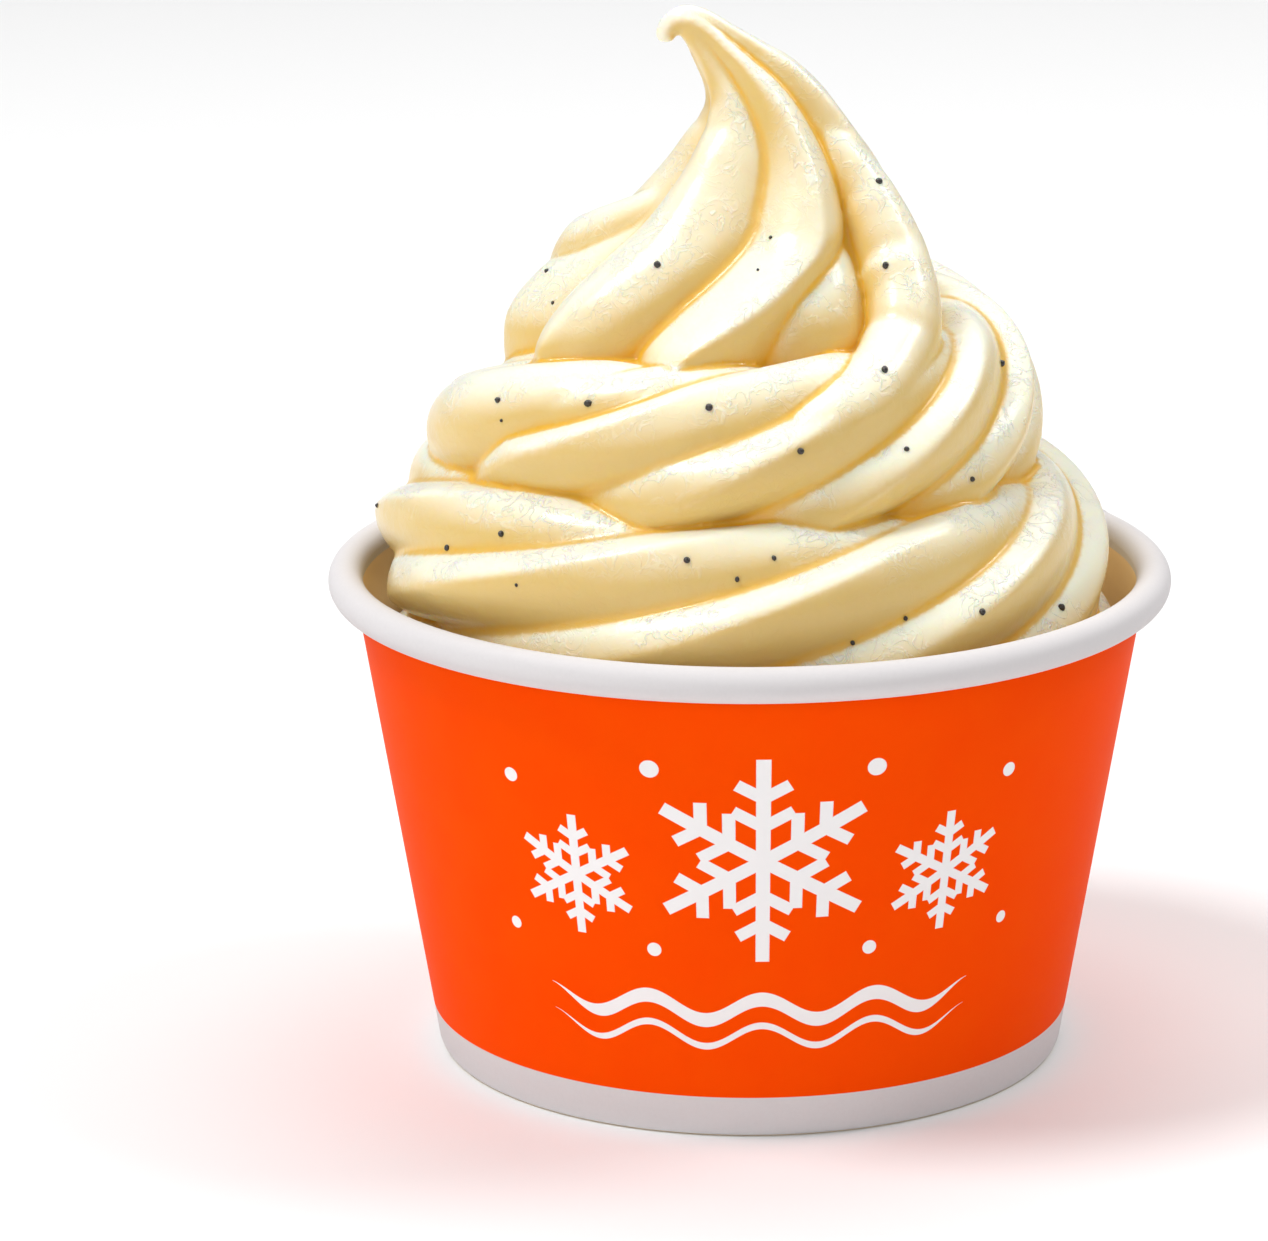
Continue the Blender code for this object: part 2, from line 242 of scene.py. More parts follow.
# %% The coil: turns, outer radius, centre height, half thickness and slump of each row
COIL = (
    (-1.00, 40.5, 38.0, 12.0, 0.0),
    (-0.75, 41.5, 38.5, 12.0, 0.0),
    (-0.50, 43.4, 41.5, 12.0, 0.0),
    (-0.25, 43.6, 50.0, 12.0, 0.0),
    (0.00, 42.7, 59.8, 12.2, 0.12),
    (0.25, 42.3, 56.8, 12.2, 0.0),
    (0.50, 40.8, 56.6, 12.2, 0.0),
    (0.75, 38.5, 64.0, 12.2, 0.4),
    (0.88, 36.0, 67.5, 11.5, 0.5),
    (1.00, 35.3, 74.8, 12.0, 0.5),
    (1.25, 35.6, 74.2, 12.0, 0.15),
    (1.50, 33.0, 74.4, 11.9, 0.0),
    (1.75, 30.5, 80.0, 11.5, 0.1),
    (2.00, 25.0, 84.0, 9.0, 0.4),
)
COIL_START = -0.75
COIL_END = 1.95
RINGS_PER_TURN = 140
ROPE_WIDTH_SHARE = 0.8
TOP_PRESSED = 0.65
PRESSED_FOCUS = 4
ROPE_VALLEY = 0.4
LIFTED_RIDGE = 2
LIFT_DEGREES = 15
LIFT_TURNS = (0.9, 1.06, 1.20, 1.30)
TWIST_START = -0.128
TWIST_RATE = 1.323
TWIST_GAIN = 0.205


def rope_ring(turns):
    """One ring of the rope at a number of turns, with its ridges turned by the twist."""
    outer, height, half_thickness, slump = smooth_table(COIL, turns)
    half_width = half_thickness * ROPE_WIDTH_SHARE
    twist = TWIST_START + TWIST_RATE * turns + TWIST_GAIN * turns**2
    rise_from, rise_to, fall_from, fall_to = LIFT_TURNS
    lift = LIFT_DEGREES / 360 * ease(turns, rise_from, rise_to) * (1 - ease(turns, fall_from, fall_to))
    crests = [twist + lobe / LOBES + (lift if lobe == LIFTED_RIDGE else 0) for lobe in range(LOBES)]
    crests.append(crests[0] + 1)
    ring = []
    for crest, following in zip(crests, crests[1:]):
        for phase in PHASES:
            angle = 2 * math.pi * (crest + (following - crest) * phase)
            pressed = TOP_PRESSED * max(math.sin(angle), 0.0) ** PRESSED_FOCUS
            share = ridge_share(phase, ROPE_VALLEY, pressed)
            lowered = slump * max(share * math.sin(angle), 0.0)
            z = height + half_thickness * (share * math.sin(angle) - lowered)
            radius = outer - half_width + half_width * (share * math.cos(angle) - lowered)
            ring.append(azimuth_point(360 * turns - 90, min(radius, fill_radius(z) - FIT_GAP), z))
    return ring


steps = round((COIL_END - COIL_START) * RINGS_PER_TURN)
coil = wrap_grid(
    "coil", [rope_ring(COIL_START + (COIL_END - COIL_START) * i / steps) for i in range(steps + 1)]
)

# %% [markdown]
# ## The last pull
# At the end the cup is drawn down and the stream stops, so the rope stretches to a point and falls
# over. The cap is one ridged section along a path in the plane of the picture. Its sections stay level
# low down, and turn square to the path where it thins out and hooks over. The ridges have their own
# places at the cap's foot and at its neck, in degrees, and the valleys fade in the tip.

# %% The cap: x, height and radius of each row
CAP = numbered(
    (
        (-3.4, 76.0, 24.2),
        (-3.2, 80.0, 24.9),
        (-3.0, 84.0, 24.6),
        (-1.8, 88.0, 22.8),
        (0.2, 92.0, 20.1),
        (2.0, 95.6, 17.3),
        (2.8, 99.5, 14.3),
        (2.9, 103.0, 11.6),
        (2.1, 106.3, 9.1),
        (0.5, 109.4, 6.9),
        (-1.4, 112.0, 4.8),
        (-3.5, 114.4, 3.5),
        (-5.3, 116.3, 2.6),
        (-7.0, 117.3, 2.0),
        (-8.4, 117.0, 1.5),
        (-9.2, 116.1, 1.2),
        (-9.2, 115.0, 0.9),
    )
)
CAP_PEAK = 13
CAP_RINGS = 120
CAP_RIDGES_LOW = (-100, -54, -16, 60, 120, 190)
CAP_RIDGES_HIGH = (-110, -50, 19, 66, 125, 190)
CAP_VALLEYS = (0.5, 0.6, 0.47, 0.5, 0.5, 0.5)
CAP_UNTWIST = (80, 97)
CAP_LEAN = (102, 113)
TIP_PRESSED = 0.7
TIP_FADE = (CAP_PEAK - 3, CAP_PEAK + 1)
LOOK_AHEAD = 0.01


def cap_ring(at):
    """One ring of the cap, at a place between the rows of its table."""
    x, height, radius = smooth_table(CAP, at)
    behind = smooth_table(CAP, max(at - LOOK_AHEAD, 0))
    ahead = smooth_table(CAP, min(at + LOOK_AHEAD, len(CAP) - 1))
    path = Vector((ahead[0] - behind[0], 0.0, ahead[1] - behind[1])).normalized()
    along = Vector((0, 0, 1)).lerp(path, 1.0 if at > CAP_PEAK else ease(height, *CAP_LEAN))
    side = Vector((0, 1, 0)).cross(along).normalized()
    turned = ease(height, *CAP_UNTWIST) if at < CAP_PEAK else 1.0
    pressed = TIP_PRESSED * ease(at, *TIP_FADE)
    crests = [low + (high - low) * turned for low, high in zip(CAP_RIDGES_LOW, CAP_RIDGES_HIGH)]
    ring = []
    for lobe, crest in enumerate(crests):
        following = crests[(lobe + 1) % LOBES] + (360 if lobe == LOBES - 1 else 0)
        for phase in PHASES:
            azimuth = math.radians(crest + (following - crest) * phase)
            outward = side * math.sin(azimuth) + Vector((0, -1, 0)) * math.cos(azimuth)
            share = ridge_share(phase, CAP_VALLEYS[lobe], pressed)
            ring.append(Vector((x, 0.0, height)) + outward * radius * share)
    return ring


cap = wrap_grid("cap", [cap_ring((len(CAP) - 1) * i / CAP_RINGS) for i in range(CAP_RINGS + 1)])

# %% [markdown]
# ## Ridges that cross from turn to turn
# Where the rope leaves a turn and climbs to the next, some of its ridges show as long, tapered swells.
# Each is a round section that grows and shrinks along a path, given as azimuth, crest radius, height
# and half width. The crest is what the eye follows, so the section is set in from the crest.

# %% The crossing ridges
CROSSING_RIDGES = {
    "tail": (
        (0, 30.5, 71.5, 1.6),
        (10, 33.4, 76.7, 3.0),
        (18, 33.3, 78.7, 3.6),
        (25, 32.4, 79.9, 4.0),
        (32, 31.0, 81.4, 4.2),
        (39, 29.3, 83.1, 4.2),
        (46, 27.6, 85.3, 4.2),
        (50, 26.6, 87.6, 4.1),
        (54, 25.2, 90.0, 4.1),
        (57, 23.8, 92.0, 4.2),
        (60, 22.2, 94.0, 4.2),
        (62, 20.6, 96.2, 4.0),
        (64, 18.8, 98.5, 3.8),
        (66, 16.6, 101.0, 3.5),
        (67, 14.0, 103.5, 3.1),
        (68, 11.2, 106.0, 2.5),
        (68, 8.2, 108.5, 1.6),
    ),
    "valley": (
        (10, 19.6, 77.0, 8.0),
        (20, 20.8, 82.5, 8.0),
        (28, 21.0, 86.5, 7.6),
        (34, 19.4, 90.0, 6.6),
        (38, 16.8, 93.0, 5.0),
        (41, 13.6, 96.0, 3.0),
    ),
    "back": (
        (-128, 25.0, 78.0, 6.0),
        (-120, 25.2, 84.0, 6.4),
        (-112, 24.2, 88.5, 6.2),
        (-107, 22.4, 91.5, 5.7),
        (-103, 19.7, 93.7, 5.0),
        (-99, 14.8, 96.4, 3.9),
        (-96, 8.5, 99.5, 2.4),
    ),
    "shoulder": (
        (-116, 31.0, 65.0, 4.0),
        (-103, 34.2, 68.2, 5.2),
        (-90, 36.0, 70.8, 5.9),
        (-76, 36.2, 73.2, 6.1),
        (-62, 35.2, 75.4, 6.0),
        (-48, 32.8, 77.4, 5.6),
        (-33, 29.3, 79.0, 4.8),
        (-16, 24.5, 79.6, 3.0),
    ),
}
CROSSING_STEPS = 120
CROSSING_SIDES = 40


def crossing_ridge(name, rows):
    """A round swell under a line of crests, which thins out at both ends."""
    crests = []
    for i in range(CROSSING_STEPS + 1):
        *place, half_width = smooth_table(numbered(rows), (len(rows) - 1) * i / CROSSING_STEPS)
        crests.append((azimuth_point(*place), half_width))
    rings = []
    for i, (crest, half_width) in enumerate(crests):
        along = (crests[min(i + 1, CROSSING_STEPS)][0] - crests[max(i - 1, 0)][0]).normalized()
        outward = Vector((crest.x, crest.y, 0)).normalized()
        outward = (outward - along * outward.dot(along)).normalized()
        across = along.cross(outward)
        centre = crest - half_width * outward
        angles = [2 * math.pi * k / CROSSING_SIDES for k in range(CROSSING_SIDES)]
        rings.append(
            [centre + half_width * (outward * math.cos(a) + across * math.sin(a)) for a in angles]
        )
    return wrap_grid(name + "_ridge", rings)


ridges = [crossing_ridge(name, rows) for name, rows in CROSSING_RIDGES.items()]

# %% [markdown]
# ## The filling
# Inside the coil and under it the yogurt is one mass. A circle is drawn up from ring to ring along the
# outline of the filling, with extrude, move and scale, as a potter raises a pot. The paper wall is made
# the same way later on.


# %% Raising a form from a circle
def raise_up(name, profile, sides, close_ends):
    """A form drawn up from a circle through (radius, height) pairs, in mm."""
    let_go()
    radius, height = profile[0]
    bpy.ops.mesh.primitive_circle_add(vertices=sides, radius=radius * MM, location=(0, 0, height * MM))
    piece = bpy.context.object
    piece.name = name
    bpy.ops.object.transform_apply(location=True, rotation=True, scale=True)
    bpy.ops.object.mode_set(mode="EDIT")
    bpy.ops.mesh.select_all(action="SELECT")
    if close_ends:
        bpy.ops.mesh.edge_face_add()
    for (radius, height), (next_radius, next_height) in zip(profile, profile[1:]):
        bpy.ops.mesh.extrude_region_move(
            TRANSFORM_OT_translate={"value": (0, 0, (next_height - height) * MM)}
        )
        share = next_radius / radius
        bpy.ops.transform.resize(value=(share, share, 1), center_override=(0, 0, next_height * MM))
    bpy.ops.mesh.select_all(action="SELECT")
    bpy.ops.mesh.normals_make_consistent(inside=False)
    bpy.ops.object.mode_set(mode="OBJECT")
    return piece


FILLING_TOP = 46
FILLING_SIDES = 96

filling_outline = [(fill_radius(height), height) for height in (FILL_FOOT, FILLING_TOP)]
filling_outline += [(35, 53), (32, 60), (29, 68), (24, 77), (17, 86), (9, 94)]
filling = raise_up("filling", filling_outline, FILLING_SIDES, close_ends=True)
print("filling", len(filling.data.polygons), "faces")

# %% [markdown]
# ## One skin
# Real soft-serve welds to itself where two turns touch, and leaves a narrow, rounded crease. Joining
# the pieces and remeshing them on a fine grid gives that one skin, and a short smoothing takes the marks
# of the grid away. Low in the cup the skin is never seen, so it is cut off there.

# %% Weld the forms into one skin
SKIN_GRID = 0.32 * MM
SKIN_SMOOTHINGS = 4
CUT_HEIGHT = 44.0

pick_up(coil)
for piece in (cap, *ridges, filling):
    piece.select_set(True)
bpy.ops.object.join()
swirl = coil
swirl.name = "yogurt_swirl"
finish_with(swirl, "REMESH", mode="VOXEL", voxel_size=SKIN_GRID, adaptivity=0)
finish_with(swirl, "SMOOTH", factor=0.5, iterations=SKIN_SMOOTHINGS)
bpy.ops.object.mode_set(mode="EDIT")
bpy.ops.mesh.select_all(action="SELECT")
bpy.ops.mesh.bisect(plane_co=(0, 0, CUT_HEIGHT * MM), plane_no=(0, 0, 1), clear_inner=True)
bpy.ops.object.mode_set(mode="OBJECT")
print("skin above the cut:", triangles(swirl), "triangles")

# %% [markdown]
# ## How deep each spot lies
# Light that sinks into yogurt comes back warm and yellow where the surface is folded in, and the folds
# lie in shade. That warm shade is painted into the colour of the creases, so every point needs to know
# how deep it lies. A copy of the skin is smoothed, and the distance that each point moves outwards
# tells its depth. A short smoothing finds the narrow creases and a long one the wide folds. The softened
# copies also tell how far a face of a ridge looks up compared with the swirl around it, which places
# the painted light from above. The three measures are kept on the mesh as attributes.

# %% Measure the hollows
FINE_SPREAD = 20
CREASE_DEPTH = 0.12 * MM
WIDE_FACING_SHARE = 0.5
HOLLOW_SPREAD = 220
HOLLOW_DEPTH = 0.8 * MM


def vectors(items, key):
    """One vector of every item, as the rows of an array."""
    values = np.zeros(len(items) * 3, np.float32)
    items.foreach_get(key, values)
    return values.reshape(-1, 3)


def facing_up(piece):
    return vectors(piece.data.vertex_normals, "vector")[:, 2]


def depth_under(cover, piece):
    """How far each point of the piece lies under the same point of its cover."""
    moves = vectors(cover.data.vertices, "co") - vectors(piece.data.vertices, "co")
    return (moves * vectors(piece.data.vertex_normals, "vector")).sum(axis=1)


def note(piece, name, values):
    attribute = piece.data.attributes.new(name, "FLOAT", "POINT")
    attribute.data.foreach_set("value", np.clip(values, -1, 1).astype(np.float32))


pick_up(swirl)
bpy.ops.object.duplicate()
softened = bpy.context.object
finish_with(softened, "SMOOTH", factor=0.5, iterations=FINE_SPREAD)
fine_facing = facing_up(softened)
crease_depth = depth_under(softened, swirl)
finish_with(softened, "SMOOTH", factor=0.5, iterations=HOLLOW_SPREAD)
fold_depth = depth_under(softened, swirl)
note(swirl, "crease", crease_depth / CREASE_DEPTH)
note(swirl, "hollow", fold_depth / HOLLOW_DEPTH)
note(swirl, "facing", fine_facing - WIDE_FACING_SHARE * facing_up(softened))
bpy.data.objects.remove(softened, do_unlink=True)
print("the deepest crease is", round(float(crease_depth.max()) / MM, 2), "mm deep")
print("the deepest fold is", round(float(fold_depth.max()) / MM, 2), "mm deep")

# %% [markdown]
# Flat faces need few triangles and creases need many, and Decimate thins a mesh by that rule. The open
# edge in the cup is then drawn down to the bottom in one long step and closed, which keeps the piece
# solid and light.

# %% Thin the skin and close its foot
SKIN_TRIANGLES = 190000

finish_with(swirl, "DECIMATE", ratio=SKIN_TRIANGLES / triangles(swirl))
bpy.ops.object.mode_set(mode="EDIT")
bpy.ops.mesh.select_mode(type="EDGE")
bpy.ops.mesh.select_all(action="DESELECT")
bpy.ops.mesh.select_non_manifold()
down = (0, 0, (FILL_FOOT - CUT_HEIGHT) * MM)
bpy.ops.mesh.extrude_edges_move(TRANSFORM_OT_translate={"value": down})
foot_share = fill_radius(FILL_FOOT) / fill_radius(CUT_HEIGHT)
bpy.ops.transform.resize(value=(foot_share, foot_share, 1), center_override=(0, 0, FILL_FOOT * MM))
bpy.ops.mesh.edge_face_add()
bpy.ops.mesh.select_all(action="SELECT")
bpy.ops.mesh.normals_make_consistent(inside=False)
bpy.ops.mesh.faces_shade_smooth()
bpy.ops.object.mode_set(mode="OBJECT")
print("yogurt_swirl", triangles(swirl), "triangles")

# %% [markdown]
# ## Vanilla grains
# The grains are vanilla seeds: small, black, shiny and not quite round. They sit half sunk where they
# were stirred in. Those on the front are listed one by one, and the rest are scattered over the back. Each
# is a dented ball, turned and scaled, and set where a level ray towards the axis meets the swirl. All
# grains are one piece.

# %% Where the grains are: azimuth, height and radius
LARGE, MEDIUM, SMALL = 0.42, 0.32, 0.22
GRAINS = [
    (60, 101, LARGE), (45, 93, LARGE), (-35, 93, LARGE), (9, 96, SMALL), (3, 93, SMALL),
    (-85, 86, SMALL), (29, 84, LARGE), (70, 81, LARGE), (-55, 79, LARGE), (-53, 77, SMALL),
    (-35, 80, LARGE), (-8, 81, LARGE), (9, 77, LARGE), (30, 76, MEDIUM), (47, 71, MEDIUM),
    (-86, 63, MEDIUM), (-45, 66, LARGE), (-57, 63, LARGE), (-10, 66, LARGE), (4, 66, MEDIUM),
    (-2, 64, MEDIUM), (-37, 62, SMALL), (25, 59, MEDIUM), (37, 59, LARGE), (59, 56, LARGE),
    (16, 57, MEDIUM),
]
BACK_RADII = (LARGE, MEDIUM, LARGE, SMALL)
BACK_GRAINS = 30
BACK_SPAN = (95, 265)
BACK_HEIGHTS = (57, 102)
GOLDEN_ANGLE = 137.5

scatter = random.Random(7)
(left, right), (lowest, highest) = BACK_SPAN, BACK_HEIGHTS
for i in range(BACK_GRAINS):
    azimuth = left + (i * GOLDEN_ANGLE) % (right - left)
    height = lowest + (highest - lowest) * (i + scatter.random()) / BACK_GRAINS
    GRAINS.append((azimuth, height, BACK_RADII[i % len(BACK_RADII)]))
print(len(GRAINS), "grains")

# %% Set the grains in the surface
RIM_RADIUS = 47.5
DENT_SHARE = 0.12

surface = BVHTree.FromObject(swirl, bpy.context.evaluated_depsgraph_get())
grains = []
for i, (azimuth, height, radius) in enumerate(GRAINS):
    start = azimuth_point(azimuth, RIM_RADIUS, height) * MM
    place, *_ = surface.ray_cast(start, azimuth_point(azimuth, -1, 0))
    if place is None:
        continue
    let_go()
    bpy.ops.mesh.primitive_ico_sphere_add(subdivisions=2, radius=radius * MM, location=place)
    grain = bpy.context.object
    bpy.ops.object.mode_set(mode="EDIT")
    bpy.ops.transform.vertex_random(offset=radius * MM * DENT_SHARE, seed=i)
    bpy.ops.object.mode_set(mode="OBJECT")
    grain.scale = (scatter.uniform(0.85, 1.1), scatter.uniform(0.85, 1.1), scatter.uniform(0.75, 1.0))
    grain.rotation_euler = [scatter.uniform(0, math.pi) for _ in range(3)]
    grains.append(grain)
let_go()
for grain in grains:
    grain.select_set(True)
bpy.context.view_layer.objects.active = grains[0]
bpy.ops.object.join()
seeds = grains[0]
seeds.name = "vanilla_grains"
bpy.ops.object.transform_apply(location=True, rotation=True, scale=True)
bpy.ops.object.shade_smooth()
print("vanilla_grains", len(grains), "set,", triangles(seeds), "triangles")

# %% [markdown]
# ## The paper wall
# The wall of such a cup is one fan-shaped sheet of coated board. It is bent round until its edges
# overlap in a glued side seam, its foot is folded in and up as a hem that grips the bottom disc, and
# its top is curled outwards into the rim. So the piece is modelled as a sheet: a circle is
# drawn up along the middle line of the board, and Solidify then gives the board its thickness.

# %% The middle line of the board, from the hem up to the end of the curl
RIM_ROLL = 1.95
HEM_HEIGHT = 5.6
FOOT_ROUND = 0.35
HALF_PAPER = PAPER / 2
HEM_OFFSET = PAPER + 2 * FIT_GAP + PAPER
WALL_RINGS = 14
FOLD_STEPS = 6
CURL_STEPS = 40
CURL_FROM = 174
CURL_TO = -112


def arc(centre, radius, start, end, count):
    angles = [math.radians(start + (end - start) * i / (count - 1)) for i in range(count)]
    return [(centre[0] + radius * math.cos(a), centre[1] + radius * math.sin(a)) for a in angles]


def wall_middle(height):
    return wall_radius(height) - HALF_PAPER


def hem_middle(height):
    return wall_middle(height) - HEM_OFFSET


fold_height = HALF_PAPER + FOOT_ROUND
curl_foot = ROLL_HEIGHT - RIM_ROLL
sheet_line = [(hem_middle(height), height) for height in (HEM_HEIGHT, HEM_HEIGHT / 2, fold_height)]
sheet_line += arc((hem_middle(0) + FOOT_ROUND, fold_height), FOOT_ROUND, 190, 270, FOLD_STEPS)
sheet_line += arc((wall_middle(0) - FOOT_ROUND, fold_height), FOOT_ROUND, 270, 350, FOLD_STEPS)
sheet_line += [
    (wall_middle(height), height)
    for height in np.linspace(fold_height + 0.3, curl_foot, WALL_RINGS).tolist()
]
sheet_line += arc(
    (RIM_RADIUS - RIM_ROLL, ROLL_HEIGHT), RIM_ROLL - HALF_PAPER, CURL_FROM, CURL_TO, CURL_STEPS
)
print("the board's middle line has", len(sheet_line), "points")

# %% Draw the sheet up
WALL_SIDES = 300
wall = raise_up("paper_wall", sheet_line, WALL_SIDES, close_ends=False)

# %% [markdown]
# The side seam is where one edge of the sheet laps over the other. It runs from the foot over the rim
# as a step of about half the board's thickness. The points in the lap are pushed out, and one column
# of points is slid up to the edge, so that the step is crisp.

# %% Lap the side seam
SEAM_AZIMUTH = 118.0
SEAM_WIDTH = 9.0
SEAM_RISE = 0.22
SEAM_EASE = 3.0
SEAM_STEP = 0.06
SEAM_FOOT = (0.2, 2.0)
INSIDE_HEM = hem_middle(0) + 2


def azimuth_of(place):
    return math.degrees(math.atan2(place.x, -place.y)) % 360


column = 360 / WALL_SIDES
for vert in wall.data.vertices:
    azimuth = azimuth_of(vert.co)
    radius = math.hypot(vert.co.x, vert.co.y)
    past_edge = azimuth - SEAM_AZIMUTH
    if -column < past_edge < 0:
        azimuth = SEAM_AZIMUTH - SEAM_STEP
    elif 0 <= past_edge < column:
        azimuth = SEAM_AZIMUTH
    if 0 <= past_edge < SEAM_WIDTH + SEAM_EASE and radius / MM > INSIDE_HEM:
        lift = SEAM_RISE * (1 - ease(past_edge, SEAM_WIDTH, SEAM_WIDTH + SEAM_EASE))
        radius += lift * MM * ease(vert.co.z / MM, *SEAM_FOOT)
    vert.co = azimuth_point(azimuth, radius, vert.co.z)

# %% Give the board its thickness and soften its edges
EDGE_ROUND = 0.08 * MM
EDGE_ANGLE = math.radians(60)

finish_with(wall, "SOLIDIFY", thickness=PAPER * MM, offset=0, use_even_offset=True)
finish_with(wall, "BEVEL", width=EDGE_ROUND, segments=2, limit_method="ANGLE", angle_limit=EDGE_ANGLE)
pick_up(wall)
bpy.ops.object.shade_smooth_by_angle(angle=math.radians(45))
print("paper_wall", triangles(wall), "triangles")

# %% [markdown]
# ## Finishes as expressions
# A finish is a web of nodes, and much of it is arithmetic. A small class wraps a socket, so that
# Python's own operators add the Math nodes. Every other node comes from one method.


# %% A socket that Python can reckon with
class Value:
    """A socket of a finish. An expression on it adds Math nodes."""

    def __init__(self, finish, socket):
        self.finish, self.socket = finish, socket

    def __add__(self, other):
        return self.finish.math("ADD", self, other)

    def __sub__(self, other):
        return self.finish.math("SUBTRACT", self, other)

    def __rsub__(self, other):
        return self.finish.math("SUBTRACT", other, self)

    def __mul__(self, other):
        return self.finish.math("MULTIPLY", self, other)

    def __truediv__(self, other):
        return self.finish.math("DIVIDE", self, other)

    def __pow__(self, other):
        return self.finish.math("POWER", self, other)

    def __abs__(self):
        return self.finish.math("ABSOLUTE", self)

    def __or__(self, other):
        return self.finish.math("MAXIMUM", self, other)

    def __and__(self, other):
        return self.finish.math("MINIMUM", self, other)

    __radd__ = __add__
    __rmul__ = __mul__


class Finish:
    """A material, with a method that adds any node and a few that read well."""

    def __init__(self, name, **settings):
        self.material = bpy.data.materials.new(name)
        self.material.use_nodes = True
        self.tree = self.material.node_tree
        self.shader = self.tree.nodes["Principled BSDF"]
        for socket, value in settings.items():
            self.set(socket.replace("_", " "), value)
        self.place = self.node("ShaderNodeTexCoord", output="Object")

    def node(self, kind, settings=None, sockets=None, output=0):
        """Adds a node of any kind and gives one of its outputs."""
        node = self.tree.nodes.new(kind)
        for setting, value in (settings or {}).items():
            setattr(node, setting, value)
        for socket, value in (sockets or {}).items():
            self.feed(node.inputs[socket], value)
        return Value(self, node.outputs[output])

    def feed(self, socket, value):
        if isinstance(value, Value):
            self.tree.links.new(value.socket, socket)
        else:
            socket.default_value = value

    def set(self, socket, value):
        self.feed(self.shader.inputs[socket], value)

    def math(self, operation, first, second=0.0):
        return self.node("ShaderNodeMath", {"operation": operation}, {0: first, 1: second})

    def axes(self):
        """The three coordinates of the place."""
        separate = self.node("ShaderNodeSeparateXYZ", sockets={0: self.place})
        return [Value(self, socket) for socket in separate.socket.node.outputs]

    def noise(self, size, detail=2.0, roughness=0.5, distortion=0.0):
        """Noise whose features are about this size, in metres."""
        sockets = {"Vector": self.place, "Scale": 1 / size, "Detail": detail}
        sockets |= {"Roughness": roughness, "Distortion": distortion}
        return self.node("ShaderNodeTexNoise", {}, sockets)

    def step(self, value, start, end, low=0.0, high=1.0):
        """A smooth step of a value, from low at the start to high at the end."""
        sockets = {"Value": value, 1: start, 2: end, 3: low, 4: high}
        return self.node("ShaderNodeMapRange", {"interpolation_type": "SMOOTHSTEP"}, sockets)

    def mix(self, share, first, second):
        """A mix of two colours."""
        return self.node("ShaderNodeMix", {"data_type": "RGBA"}, {0: share, 6: first, 7: second}, output=2)

    def bump(self, height, distance, strength=1.0):
        sockets = {"Strength": strength, "Distance": distance, "Height": height}
        return self.node("ShaderNodeBump", {}, sockets)


# %% [markdown]
# ## The yogurt's finish
# Frozen yogurt is fat, sugar and tiny ice crystals. Light goes in, scatters and comes back warmer, so
# the shader has subsurface scattering, and the wet film on top is a coat with soft highlights.
#
# The colour is laid on in layers: cream with faint clouds of butter, a pale tone on the faces that look
# up, which is partly frost and partly painted light from above, a painted warm shade in the folds and
# creases, and a painted highlight of ice white on the crests. Part of that paleness is the light in the
# picture, so its tone was matched to it. The frost is crazed with fine wavy lines, where a noise passes
# its middle value. They come in patches, paler than the frost and raised; their pale colour is partly
# ice and partly painted glints.

# %% What the colours are, and where each one goes
yogurt = Finish(
    "frozen_yogurt",
    Subsurface_Weight=1.0,
    Subsurface_Radius=(1.0, 0.8, 0.5),
    Subsurface_Scale=0.0006,
    Coat_Weight=0.35,
    Coat_Roughness=0.12,
    IOR=1.4,
)
# ice white: painted highlight on the crests, and ice flecks with painted glints in the crackle
ICE_AND_HIGHLIGHT = (1.0, 0.97, 0.88, 1)
# pale tone for the faces that look up: partly frost, partly painted light from above
FROST_AND_TOP_LIGHT = (0.97, 0.93, 0.77, 1)
CREAM = (0.83, 0.64, 0.28, 1)
BUTTER = (0.77, 0.56, 0.20, 1)
# painted warm shade for the folds and creases
FOLD_SHADE = (0.87, 0.51, 0.05, 1)


def noted(name):
    """One of the measures kept on the mesh."""
    return yogurt.node("ShaderNodeAttribute", {"attribute_name": name}, output="Fac")


hollow, crease, facing = noted("hollow"), noted("crease"), noted("facing")
# faces that look up get frost with painted light from above, except in the creases
frost_and_top_light = yogurt.step(facing, 0.0, 0.45) * (1 - yogurt.step(crease, 0.0, 0.5))
# painted highlight along the crests, where the skin stands out from the swirl
crest = yogurt.step(hollow, -0.45, -0.95)
# painted warm shade in the folds and creases, weaker on the faces that look up
fold_shade = yogurt.step(hollow, 0.0, 0.9) * (1 - 0.8 * frost_and_top_light) | yogurt.step(crease, 0.25, 0.9)
cloud = yogurt.step(yogurt.noise(14 * MM, detail=3), 0.3, 0.75)
patch = yogurt.step(yogurt.noise(9 * MM, detail=2), 0.42, 0.58) * frost_and_top_light
off_middle = abs(yogurt.noise(2.0 * MM, detail=2, distortion=1.3) - 0.5)
# the crackle's pale colour is partly ice flecks and partly painted glints; its raise is a bump
crackle = yogurt.step(off_middle, 0.06, 0.0)

# %% Make the yogurt's finish
ICE_AND_HIGHLIGHT_SHARE = 0.75
BARE_CRACKLE = 0.06
RELIEF = 0.18 * MM

body = yogurt.mix(cloud * 0.3, BUTTER, CREAM)
body = yogurt.mix(frost_and_top_light, body, FROST_AND_TOP_LIGHT)
body = yogurt.mix(fold_shade, body, FOLD_SHADE)
